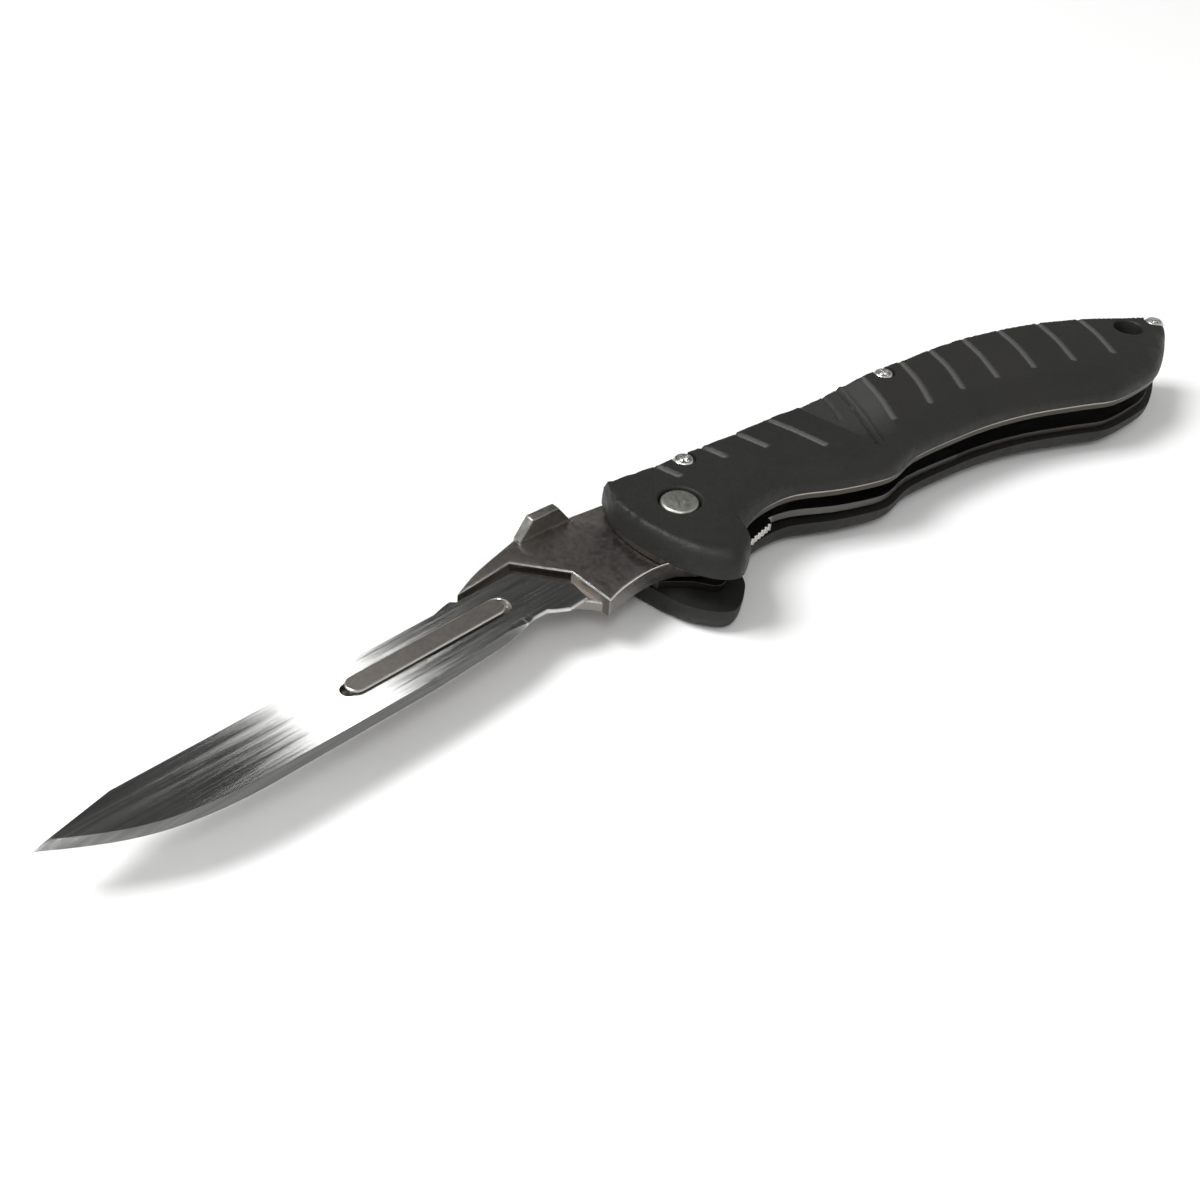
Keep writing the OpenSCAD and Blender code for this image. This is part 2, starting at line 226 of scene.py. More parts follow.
def moulded_plastic(name):
    """Near-black moulded plastic with a fine pebble, and a lighter grey mixed in where a mesh
    attribute says: painted sheen that stands in for light on the grooves and the relief.
    """
    s = Shader(name)
    s.set(Specular_IOR_Level=0.3)
    pebble = s.cells(2600)
    grit = s.noise(5200, detail=2)
    patches = s.noise(55, detail=4)
    tint = s.ramp(patches, [(0.3, (0.0115, 0.012, 0.0112)), (0.55, (0.015, 0.0148, 0.0132)),
                            (0.8, (0.018, 0.016, 0.0138))])
    specks = s.ramp(grit, [(0.45, (0.72, 0.72, 0.72)), (0.7, (1.25, 1.25, 1.22))])
    # Painted sheen: a per-vertex mesh attribute mixes the colour towards a lighter grey, as if lit.
    painted_highlight_node = s.add("ShaderNodeAttribute", attribute_name="painted_sheen")
    moulded = s.mix(0.6, tint, specks, "MULTIPLY")
    s.colour(s.mix((painted_highlight_node, "Fac"), moulded, (0.075, 0.076, 0.072)))
    s.rough(s.ramp(s.noise(900, detail=3), [(0.3, 0.46), (0.7, 0.62)]))
    s.bump(s.ramp(pebble, [(0.0, 1.0), (0.55, 0.0)]), 0.035, 0.5)
    s.bump(grit, 0.02, 0.5)
    return s.material


def blasted_steel(name, dark, light, roughness=(0.3, 0.42), grain=0.012):
    """Bead-blasted stainless steel: fine pits, faint warm and cool patches."""
    s = Shader(name)
    s.set(Metallic=1.0)
    pits = s.noise(6500, detail=2)
    patches = s.noise(70, detail=3)
    fine = s.noise(1500, detail=3)
    base = s.ramp(patches, [(0.3, dark), (0.7, light)])
    s.colour(s.mix(0.5, base, s.ramp(fine, [(0.3, 0.78), (0.7, 1.15)]), "MULTIPLY"))
    s.rough(s.ramp(fine, [(0.3, roughness[0]), (0.7, roughness[1])]))
    s.bump(pits, grain, 0.5)
    return s.material


def brushed_steel(name, dark, light, roughness=(0.14, 0.26), turn=0.0, grain=0.004):
    """Steel polished along one direction: long streaks in tone, gloss and height."""
    s = Shader(name)
    s.set(Metallic=1.0)
    streaks = s.noise(2600, detail=4, stretch=(0.03, 1, 1), turn=turn)
    broad = s.noise(420, detail=3, stretch=(0.06, 1, 1), turn=turn)
    base = s.ramp(broad, [(0.3, dark), (0.7, light)])
    s.colour(s.mix(0.35, base, s.ramp(streaks, [(0.3, 0.7), (0.7, 1.2)]), "MULTIPLY"))
    s.rough(s.ramp(streaks, [(0.3, roughness[0]), (0.7, roughness[1])]))
    s.bump(streaks, grain, 0.4)
    return s.material


# Share of a cut edge's colour that is left where painted shade darkens it
PAINTED_EDGE_SHADE = 0.16


def blackened_steel(name, flat, edge, bright):
    """Sheet steel with a black oxide finish and lighter cut edges, which are darkened by painted
    shade apart from where they are bright along every axis listed: (axis, from, to) in millimetres
    about the pivot."""
    s = Shader(name)
    s.set(Metallic=1.0)
    split = s.add("ShaderNodeSeparateXYZ")
    s.join(s.coords, "Normal", split, "Vector")
    steep = s.add("ShaderNodeMath", operation="ABSOLUTE")
    s.join(split, "Z", steep, 0)
    side = s.ramp((steep, "Value"), [(0.35, 1.0), (0.75, 0.0)])
    streaks = s.noise(2200, detail=3, stretch=(0.05, 1, 1))
    dark = s.mix(0.4, flat, s.ramp(streaks, [(0.3, 0.7), (0.7, 1.25)]), "MULTIPLY")
    place = s.add("ShaderNodeSeparateXYZ")
    s.join(s.coords, "Object", place, "Vector")
    cut = edge
    # Painted shade: cut edges outside the listed spans are darkened
    for axis, begin, end in bright:
        along = s.add("ShaderNodeMapRange")
        offset = {"X": PIVOT.x, "Y": PIVOT.y, "Z": 0}[axis]
        along.inputs["From Min"].default_value = offset + begin * MM
        along.inputs["From Max"].default_value = offset + end * MM
        s.join(place, axis, along, "Value")
        cut = s.mix((along, "Result"), tuple(PAINTED_EDGE_SHADE * c for c in edge), cut)
    s.colour(s.mix(side, dark, cut))
    s.rough(s.ramp(streaks, [(0.3, 0.3), (0.7, 0.44)]))
    s.bump(s.noise(5200, detail=2), 0.006, 0.4)
    return s.material


def polished_steel(name, tone, roughness):
    s = Shader(name)
    s.set(Metallic=1.0)
    smear = s.noise(1200, detail=3)
    s.colour(s.ramp(smear, [(0.3, tuple(0.82 * c for c in tone)), (0.7, tone)]))
    s.rough(s.ramp(smear, [(0.3, roughness * 0.7), (0.7, roughness * 1.3)]))
    s.bump(s.noise(4000, detail=2), 0.004, 0.4)
    return s.material


BLADE_ANGLE = 3.5
EDGE_SMOOTH_ANGLE = 20

MATERIALS = {
    "scale": moulded_plastic("moulded_plastic"),
    # Painted shade on the liners' cut edges below 8.55 mm in height and at X below 2 mm, and on the
    # lock leaf's edges from 15 mm behind the pivot towards the butt
    "liner": blackened_steel("liner_steel", (0.035, 0.034, 0.032), (0.42, 0.39, 0.34),
                             [("Z", 8.55, 8.75), ("X", 2, 5)]),
    "lock": blackened_steel("lock_steel", (0.05, 0.049, 0.046), (0.66, 0.64, 0.6),
                            [("X", 15, 13.2)]),
    "ball": polished_steel("ball_steel", (0.7, 0.7, 0.7), 0.08),
    "standoff": polished_steel("turned_steel", (0.42, 0.42, 0.41), 0.25),
    "pivot": blasted_steel("pivot_steel", (0.4, 0.41, 0.37), (0.47, 0.48, 0.43), (0.34, 0.46)),
    "washer": polished_steel("phosphor_bronze", (0.62, 0.42, 0.2), 0.3),
    "holder": blasted_steel("holder_steel", (0.22, 0.205, 0.19), (0.27, 0.25, 0.23)),
    "blade": brushed_steel("blade_steel", (0.5, 0.5, 0.49), (0.62, 0.62, 0.61), (0.09, 0.18),
                           turn=-BLADE_ANGLE),
    "thumb": blasted_steel("thumb_steel", (0.27, 0.26, 0.245), (0.33, 0.32, 0.3)),
    "screw": polished_steel("nickel", (0.9, 0.9, 0.88), 0.22),
    "worn_edge": polished_steel("worn_edge", (0.7, 0.69, 0.66), 0.22),
    # Near-black steel put on the holder's step walls as painted shade in the corner
    "painted_corner_shade": blasted_steel("painted_corner_shade", (0.05, 0.047, 0.043), (0.08, 0.075, 0.07)),
}


# ---------------------------------------------------------------- mesh helpers


def put(name, mesh, node, smooth_angle):
    """A new piece that stands for a CAD node, rides on its body and takes its finish."""
    piece = bpy.data.objects.new(name, mesh)
    bpy.context.scene.collection.objects.link(piece)
    mesh.materials.append(MATERIALS[SLOT_OF[node]])
    mesh.shade_smooth()
    mesh.set_sharp_from_angle(angle=math.radians(smooth_angle))
    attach(piece, BODY_OF[node])
    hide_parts(node)
    return piece


def cad_copy(node):
    """The CAD node's solid as a bmesh with flat faces joined up, in millimetres about the pivot."""
    bm = bmesh.new()
    bm.from_mesh(NODES[node].data)
    bmesh.ops.transform(bm, matrix=NODES[node].matrix_world, verts=bm.verts)
    for v in bm.verts:
        v.co = Vector(((v.co.x - PIVOT.x) / MM, (v.co.y - PIVOT.y) / MM, v.co.z / MM))
    bmesh.ops.remove_doubles(bm, verts=bm.verts, dist=0.002)
    bmesh.ops.dissolve_limit(bm, angle_limit=math.radians(0.6), verts=bm.verts, edges=bm.edges,
                             delimit={"NORMAL"})
    return bm


def to_frame(bm, name):
    """Turns a bmesh in millimetres about the pivot into a mesh in the frame."""
    for v in bm.verts:
        v.co = at(*v.co)
    mesh = bpy.data.meshes.new(name)
    bm.to_mesh(mesh)
    bm.free()
    return mesh


SHARP = math.radians(25)


def broken_edges(bm, width, segments, clamp, chosen):
    """Bevels the convex edges that chosen picks, and returns the new faces."""
    edges = [e for e in bm.edges if len(e.link_faces) == 2 and e.is_convex
             and e.calc_face_angle(0) > SHARP and chosen(e)]
    return bmesh.ops.bevel(bm, geom=edges, offset=width, segments=segments, profile=0.5,
                           affect="EDGES", clamp_overlap=clamp, material=-1)["faces"]


def eased(node, width, segments=2):
    """The CAD shape with its edges broken, as a deburred metal part has."""
    bm = cad_copy(node)
    broken_edges(bm, width, segments, True, lambda e: True)
    return put(f"{node}_eased", to_frame(bm, f"{node}_eased"), node, EDGE_SMOOTH_ANGLE)


WORN_W, BACK_EDGE_W = 0.2, 0.08
# Stretch along X of the step's walls, where the corner gets painted shade
STEP_FROM, STEP_TO = -24, -15


def make_holder():
    """The blade holder, with upper edges that are worn bright and painted shade on the walls of the
    corner at its step.
    """
    bm = cad_copy("blade_holder")

    def facing_down(e):
        return min(f.normal.z for f in e.link_faces) < -0.5

    for face in broken_edges(bm, WORN_W, 2, False, lambda e: not facing_down(e)):
        face.material_index = int(0.1 < face.normal.z < 0.98)
    broken_edges(bm, BACK_EDGE_W, 1, False, facing_down)
    for face in bm.faces:
        # Painted shade: walls at the step that face the tip get near-black steel, standing in for
        # shade in the corner
        centre = face.calc_center_median()
        faces_tip = face.normal.x < -0.3 and abs(face.normal.z) < 0.3
        if faces_tip and STEP_FROM < centre.x < STEP_TO and centre.z > BLADE_BASE - 0.1:
            face.material_index = 2
    holder = put("blade_holder_eased", to_frame(bm, "blade_holder"), "blade_holder",
                 EDGE_SMOOTH_ANGLE)
    # The bevels' worn edge, and the step corner's painted shade
    for finish in ("worn_edge", "painted_corner_shade"):
        holder.data.materials.append(MATERIALS[finish])


def rim_loop(node, z):
    """The outer outline of a flat-based CAD node at height z, anticlockwise."""
    bm = bmesh.new()
    bm.from_mesh(NODES[node].data)
    bmesh.ops.remove_doubles(bm, verts=bm.verts, dist=2e-6)
    step = {}
    for e in bm.edges:
        if any(abs(v.co.z / MM - z) > 0.01 for v in e.verts) or len(e.link_faces) != 2:
            continue
        flats = [abs(f.normal.z) > 0.5 for f in e.link_faces]
        if flats[0] == flats[1]:
            continue
        for a, b in (e.verts, reversed(e.verts)):
            step.setdefault(a, []).append(b)
    loops, seen = [], set()
    for start in step:
        if start in seen:
            continue
        loop, here = [], start
        while here not in seen:
            seen.add(here)
            loop.append(((here.co.x - PIVOT.x) / MM, (here.co.y - PIVOT.y) / MM))
            here = next((v for v in step[here] if v not in seen), here)
        loops.append(np.array(loop))
    bm.free()
    outline = max(loops, key=lambda p: np.ptp(p[:, 0]))
    area = np.sum(outline[:, 0] * np.roll(outline[:, 1], -1)
                  - np.roll(outline[:, 0], -1) * outline[:, 1])
    return outline if area > 0 else outline[::-1]


def smoothed(loop, steps=3, corner=24):
    """A closed outline with more points on its curves; vertices that turn sharply stay corners."""
    n = len(loop)
    ahead = np.roll(loop, -1, 0) - loop
    heading = np.degrees(np.arctan2(ahead[:, 1], ahead[:, 0]))
    turn = np.abs((heading - np.roll(heading, 1) + 180) % 360 - 180)
    result = []
    for i in range(n):
        b, c = loop[i], loop[(i + 1) % n]
        a = b if turn[i] > corner else loop[i - 1]
        d = c if turn[(i + 1) % n] > corner else loop[(i + 2) % n]
        for k in range(steps):
            t = k / steps
            result.append(0.5 * (2 * b + (c - a) * t + (2 * a - 5 * b + 4 * c - d) * t * t
                                 + (3 * b - a - 3 * c + d) * t ** 3))
    return np.array(result)


def spaced(loop, pitch):
    """A closed outline with its long straight stretches cut into lengths of about pitch."""
    result = []
    for a, b in zip(loop, np.roll(loop, -1, 0)):
        n = max(1, math.ceil(np.hypot(*(b - a)) / pitch))
        result += [a + (b - a) * k / n for k in range(n)]
    return np.array(result)


def circle(x, y, r, n=72):
    a = np.arange(n) * 2 * math.pi / n
    return np.stack([x + r * np.cos(a), y + r * np.sin(a)], 1)


def inside(points, loop):
    """Which points lie inside a closed loop."""
    x, y = points[:, 0:1], points[:, 1:2]
    x0, y0 = loop[:, 0], loop[:, 1]
    x1, y1 = np.roll(x0, -1), np.roll(y0, -1)
    crosses = (y0 > y) != (y1 > y)
    at_x = x0 + (y - y0) * (x1 - x0) / np.where(y1 == y0, 1e-12, y1 - y0)
    return np.sum(crosses & (x < at_x), 1) % 2 == 1


def to_line(points, line, closed=False):
    """Distance from each point to a line of points, and how far along it the nearest place is."""
    a = line if closed else line[:-1]
    b = np.roll(line, -1, 0) if closed else line[1:]
    ab = b - a
    best = np.full(len(points), 1e9)
    where = np.zeros(len(points))
    for i in range(len(a)):
        ap = points - a[i]
        t = np.clip(ap @ ab[i] / max(ab[i] @ ab[i], 1e-12), 0, 1)
        d = np.hypot(*(ap - t[:, None] * ab[i]).T)
        closer = d < best
        best[closer] = d[closer]
        where[closer] = (i + t)[closer]
    return best, where


def sheet_solid(outline, holes, loops, lines, points, top, bottom):
    """A closed solid over a plan outline. loops and lines are closed and open lines that the
    mesh keeps, points fill it in, and top and bottom give the height of a list of points."""
    verts, edges = [], []
    for loop in [outline] + holes + loops:
        first = len(verts)
        verts += [Vector(p) for p in loop]
        edges += [(first + i, first + (i + 1) % len(loop)) for i in range(len(loop))]
    for line in lines:
        first = len(verts)
        verts += [Vector(p) for p in line]
        edges += [(first + i, first + i + 1) for i in range(len(line) - 1)]
    verts += [Vector(p) for p in points]
    flat, _, faces = delaunay_2d_cdt(verts, edges, [], 0, 1e-5, False)[:3]
    flat = np.array([tuple(v) for v in flat])
    faces = np.array([f for f in faces if len(f) == 3])
    centres = flat[faces].mean(1)
    keep = inside(centres, outline)
    for hole in holes:
        keep &= ~inside(centres, hole)
    faces = faces[keep]
    used = np.unique(faces)
    number = np.full(len(flat), -1)
    number[used] = np.arange(len(used))
    flat, faces = flat[used], number[faces]
    n = len(flat)
    bm = bmesh.new()
    upper = [bm.verts.new((p[0], p[1], z)) for p, z in zip(flat, top(flat))]
    for f in faces:
        bm.faces.new([upper[i] for i in f])
    bmesh.ops.recalc_face_normals(bm, faces=bm.faces)
    if sum(f.normal.z for f in bm.faces) < 0:
        bmesh.ops.reverse_faces(bm, faces=bm.faces)
    lower_z = bottom(flat)
    rim = [e for e in bm.edges if len(e.link_faces) == 1]
    if np.ptp(lower_z) < 1e-6:
        made = bmesh.ops.extrude_edge_only(bm, edges=rim)["geom"]
        new = [g for g in made if isinstance(g, bmesh.types.BMVert)]
        for v in new:
            v.co.z = lower_z[0]
        low_edges = [g for g in made if isinstance(g, bmesh.types.BMEdge)
                     and all(v.co.z == new[0].co.z for v in g.verts)]
        bmesh.ops.triangle_fill(bm, edges=low_edges, use_beauty=True)
    else:
        lower = [bm.verts.new((p[0], p[1], z)) for p, z in zip(flat, lower_z)]
        for f in faces:
            bm.faces.new([lower[i] for i in reversed(f)])
        index = {v: i for i, v in enumerate(upper)}
        for e in rim:
            i, j = (index[v] for v in e.verts)
            bm.faces.new((upper[i], upper[j], lower[j], lower[i]))
    bmesh.ops.remove_doubles(bm, verts=bm.verts, dist=1e-4)
    bmesh.ops.recalc_face_normals(bm, faces=bm.faces)
    return bm


def grid(outline, pitch, margin, avoid=()):
    """A staggered grid of points inside an outline, clear of it and of the lines in avoid,
    each of which is (line, clearance)."""
    low, high = outline.min(0), outline.max(0)
    rows = np.arange(low[1], high[1], pitch * 0.87)
    points = np.array([(x + (k % 2) * pitch / 2, y) for k, y in enumerate(rows)
                       for x in np.arange(low[0], high[0], pitch)])
    points = points[inside(points, outline)]
    points = points[to_line(points, outline, True)[0] > margin]
    for line, gap in avoid:
        points = points[to_line(points, line)[0] > gap]
    return points


# ---------------------------------------------------------------- handle scales

# Width of the crown at places round the outline: x, y, width
CROWN = np.array([
    (-5.2, 9.3, 0.5), (-7.1, 5.2, 0.6), (-7.6, 0.3, 0.7), (-7.2, -4, 1.0), (-6.3, -8.3, 1.7),
    (-4.3, -11.8, 2.0), (-1.8, -13.4, 2.0), (0.9, -12.2, 1.7), (3.2, -10.3, 1.6), (4.3, -8.4, 1.7),
    (4.7, -7.1, 2.0), (8.7, -5.4, 3.2), (13, -4.7, 3.6), (17.6, -5.2, 4.0), (23.7, -8, 4.6),
    (30, -10, 4.8), (38.5, -9.1, 4.6), (46.5, -9.4, 4.8), (54.7, -10.3, 5.0), (62.9, -12.3, 5.2),
    (71.2, -15.5, 5.2), (76.5, -17.6, 5.0), (83.5, -17.8, 4.8), (88.5, -17.2, 4.0),
    (94, -14.7, 3.0), (98.2, -11.9, 1.6), (99.2, -10.1, 0.9), (97.3, -8, 0.6), (90, -3.1, 0.8),
    (78, 2.5, 0.8), (62, 6.1, 0.7), (46, 7.2, 0.6), (37.4, 7, 0.6), (21.7, 7.5, 0.6),
    (9.6, 7.9, 0.5)])
CROWN_DROP = 3.05

GROOVE_W, GROOVE_DEPTH = 1.0, 0.45
# Grip grooves, from the spine to the belly: x and y of the start, the middle and the end
GROOVES = [
    [(2.8, 7.8), (3.3, 6.1), (3.7, 4.4)], [(11, 7.7), (11.6, 5.9), (12, 4)],
    [(17.25, 7.4), (17.9, 5), (18.5, 2.4)], [(23.5, 7.3), (24.7, 2.6), (25.5, -2.3)],
    [(44, 7.1), (41.9, 1.8), (38.9, -3.6)], [(52.4, 6.5), (50.2, 1.3), (46.9, -3.9)],
    [(59, 6.1), (57.1, 0.9), (54.1, -4.2)], [(66.1, 5.1), (64.1, 0), (61.2, -5.2)],
    [(73.2, 3.6), (71.3, -1.6), (68.4, -6.8)], [(80.4, 1), (78.4, -4.1), (75.4, -9.3)],
    [(87.2, -2.1), (85.4, -6.9), (82.6, -11.7)]]
# The V relief: its left side, its valley of two fine grooves, and its right side
VEE_LEFT = [(29.7, 7.3), (30.1, 3.1), (31.1, -2.2), (31.7, -6)]
VALLEY = [[(38.3, 7.3), (36.2, 2.1), (34.4, -1.7), (32, -6.4)],
          [(40, 7.2), (38, 2), (36, -2.1), (33.5, -6.5)]]
VEE_RIGHT = [(44, 7.1), (41.9, 1.8), (38.9, -3.6), (36, -7.4)]
VEE_INNER = [(34.9, 6.4), (33.8, 3.4), (32.6, 1.1)]
VEE_DEPTH = 0.6


def curve_through(points):
    """A smooth line through three or more points, with its own points about LINE_PITCH apart."""
    p = np.array(points, float)
    result = []
    for i in range(len(p) - 1):
        a, b, c, d = p[max(i - 1, 0)], p[i], p[i + 1], p[min(i + 2, len(p) - 1)]
        n = max(2, int(np.hypot(*(c - b)) / LINE_PITCH))
        for k in range(n):
            t = k / n
            result.append(0.5 * (2 * b + (c - a) * t + (2 * a - 5 * b + 4 * c - d) * t * t
                                 + (3 * b - a - 3 * c + d) * t ** 3))
    return np.array(result + [p[-1]])


def smoothstep(t):
    t = np.clip(t, 0, 1)
    return t * t * (3 - 2 * t)


def groove_profile(distance, width):
    """Share of its full depth at a distance from a groove's middle: a flat floor, sloping sides."""
    return smoothstep((width / 2 - distance) / (width * 0.28))


def beside(line, offsets):
    """Points along a line at several distances to either side."""
    step = np.gradient(line, axis=0)
    normal = np.stack([-step[:, 1], step[:, 0]], 1) / np.hypot(*step.T)[:, None]
    return np.concatenate([line + o * normal for o in offsets])


PIVOT_POCKET_R = 2.95
PIVOT_FLOOR = 1.35
PIVOT_BORE_R = 1.82
SCREW_POCKET_R = 1.72
SCREW_FLOOR = 1.1
WALL = 0.02
# Rounded rims of the pivot's pocket and the lanyard hole: width and drop
PIVOT_LIP_W, PIVOT_LIP_DROP = 0.25, 0.16
HOLE_LIP_W, HOLE_LIP_DROP = 0.4, 0.35
VALLEY_W, VALLEY_DEPTH = 0.6, 0.4
INNER_W, INNER_DEPTH = 0.7, 0.2
# Grooves and their painted sheen fade out towards the rim over this width
RIM_FADE = 1.3
FACE_PITCH, LINE_PITCH = 0.45, 0.5
# Mesh rings that follow the crown, as shares of its width
CROWN_RINGS = (0.012, 0.04, 0.09, 0.16, 0.26)


def scale_surface(outline, crown_w):
    """Returns a function that gives the height of a scale's face at a list of plan points."""
    grooves = [curve_through(g) for g in GROOVES]
    valley = [curve_through(g) for g in VALLEY]
    left, right = curve_through(VEE_LEFT), curve_through(VEE_RIGHT)
    inner = curve_through(VEE_INNER)
    ridge_line = curve_through((np.array(VALLEY[0]) + np.array(VALLEY[1])) / 2)
    middle_line = (valley[0][[0, -1]] + valley[1][[0, -1]]) / 2

    def in_relief(points):
        """Which points lie on the V's left slope and which on its right slope."""
        return (inside(points, np.concatenate([left, middle_line[::-1]])),
                inside(points, np.concatenate([middle_line, right[::-1]])))

    def height(points):
        distance, place = to_line(points, outline, True)
        i = place.astype(int) % len(outline)
        w = crown_w[i] + (crown_w[(i + 1) % len(outline)] - crown_w[i]) * (place % 1)
        s = np.clip(distance / w, 0, 1)
        z = HANDLE_TOP - CROWN_DROP * (1 - np.sqrt(np.clip(1 - (1 - s) ** 2.2, 0, 1)))
        fade = smoothstep((s - 0.25) / 0.5)
        in_vee, in_right = in_relief(points)
        from_mid = to_line(points, middle_line)[0]
        for region, low_side, high_side in ((in_vee, left, middle_line),
                                            (in_right, middle_line, right)):
            from_low = to_line(points, low_side)[0]
            from_high = to_line(points, high_side)[0]
            sunk = from_high / np.maximum(from_low + from_high, 1e-6)
            sunk = sunk * smoothstep(from_low / 0.45) * smoothstep((from_mid + from_low) / 3)
            z = z - np.where(region, VEE_DEPTH * sunk * fade, 0)
        for g in grooves:
            cut = groove_profile(to_line(points, g)[0], GROOVE_W) * smoothstep(distance / RIM_FADE)
            z = z - GROOVE_DEPTH * cut * fade
        for g in valley:
            z = z - VALLEY_DEPTH * groove_profile(to_line(points, g)[0], VALLEY_W) * fade
        z = z - INNER_DEPTH * groove_profile(to_line(points, inner)[0], INNER_W) * fade
        from_pivot = np.hypot(points[:, 0], points[:, 1])
        z = np.where(from_pivot < PIVOT_POCKET_R - WALL / 2, HANDLE_TOP - PIVOT_FLOOR, z)
        lip = PIVOT_LIP_DROP * (1 - np.clip((from_pivot - PIVOT_POCKET_R) / PIVOT_LIP_W, 0, 1)) ** 2
        z = np.where(from_pivot >= PIVOT_POCKET_R - WALL / 2, z - lip, z)
        from_hole = np.hypot(points[:, 0] - LANYARD.x, points[:, 1] - LANYARD.y)
        z = z - HOLE_LIP_DROP * (1 - np.clip((from_hole - LANYARD_R) / HOLE_LIP_W, 0, 1)) ** 2
        for s in SCREWS:
            near = np.hypot(points[:, 0] - s.x, points[:, 1] - s.y) < SCREW_POCKET_R - WALL / 2
            z = np.where(near, np.minimum(z, HANDLE_TOP - SCREW_FLOOR), z)
        return z

    def painted_sheen(points):
        """Painted sheen: where a lighter grey is painted into the plastic, standing in for light in
        the grooves, along the relief's ridge and on its two slopes.
        """
        value = np.zeros(len(points))
        from_rim = to_line(points, outline, True)[0]
        for g in grooves:
            value = np.maximum(value, groove_profile(to_line(points, g)[0], GROOVE_W * 1.15))
        ridge = groove_profile(to_line(points, ridge_line)[0], INNER_W)
        in_vee, in_right = in_relief(points)
        fading = smoothstep((points[:, 1] + 7) / 8)
        value = np.maximum(value, np.where(in_right, 0.42 * fading, 0))
        value = np.maximum(value, np.where(in_vee, 0.2 * fading, 0))
        return np.maximum(value, 0.6 * ridge * fading) * smoothstep(from_rim / RIM_FADE)

    return height, painted_sheen, grooves, valley + [inner, left]


def make_scales():
    outline = smoothed(rim_loop("front_scale", SCALE_BASE))
    gap = np.hypot(outline[:, None, 0] - CROWN[None, :, 0], outline[:, None, 1] - CROWN[None, :, 1])
    weight = 1 / (gap + 0.3) ** 4
    crown_w = (weight @ CROWN[:, 2]) / weight.sum(1)
    height, painted_sheen, grooves, creases = scale_surface(outline, crown_w)
    holes = [circle(0, 0, PIVOT_BORE_R), circle(LANYARD.x, LANYARD.y, LANYARD_R)]
    loops = [circle(0, 0, PIVOT_POCKET_R + d) for d in (-WALL, 0, 0.12, PIVOT_LIP_W)]
    loops += [circle(LANYARD.x, LANYARD.y, LANYARD_R + d) for d in (0.12, 0.25, 0.42)]
    loops += [circle(s.x, s.y, r, 40) for s in SCREWS for r in (SCREW_POCKET_R - WALL,
                                                               SCREW_POCKET_R)]
    tangent = np.roll(outline, -1, 0) - np.roll(outline, 1, 0)
    normal = np.stack([-tangent[:, 1], tangent[:, 0]], 1) / np.hypot(*tangent.T)[:, None]
    rings = [outline + normal * (crown_w * share)[:, None]
             for share in CROWN_RINGS]
    keep_off = [(g, 0.62) for g in grooves] + [(g, 0.42) for g in creases]
    extra = [beside(g, (-0.52, -0.42, -0.3, -0.18, 0, 0.18, 0.3, 0.42, 0.52)) for g in grooves]
    extra += [beside(g, (-0.32, -0.22, -0.1, 0.1, 0.22, 0.32)) for g in creases]
    points = np.concatenate([grid(outline, FACE_PITCH, 0.25, keep_off)] + extra)
    points = points[inside(points, outline)]
    points = points[to_line(points, outline, True)[0] > 0.006]
    for c in holes:
        points = points[~inside(points, c)]
    for name, to_back in (("front_scale", False), ("back_scale", True)):
        bm = sheet_solid(outline, holes, loops + rings, [], points, height,
                         lambda p: np.full(len(p), SCALE_BASE))
        # Painted sheen, stored per vertex for the plastic's colour
        layer = bm.verts.layers.float.new("painted_sheen")
        upper = [v for v in bm.verts if v.co.z > SCALE_BASE + 0.1]
        for v, value in zip(upper, painted_sheen(np.array([v.co.xy for v in upper]))):
            v[layer] = value
        if to_back:
            for v in bm.verts:
                v.co.z = HANDLE_TOP - v.co.z
            bmesh.ops.reverse_faces(bm, faces=bm.faces)
        put(f"{name}_moulding", to_frame(bm, name), name, 50)


# ---------------------------------------------------------------- blade

BEVEL_W = 1.25
BEVEL_END, BEVEL_FADE = -27.0, 3.0
EDGE_HALF = 0.02
EDGE_BREAK = 0.1
# How far loose mesh points keep from the rim and from the cutting edge
OFF_RIM, OFF_EDGE = 0.06, 1.02 * BEVEL_W
# The blade's slot, in the blade's own lines
RAIL_V = 4.1
SLOT_FRONT, SLOT_NECK, SLOT_REAR = -51.7, -40.3, -26.35
SLOT_R_FRONT, SLOT_R_REAR = 1.1, 1.65
BLADE_TURN = math.radians(BLADE_ANGLE)


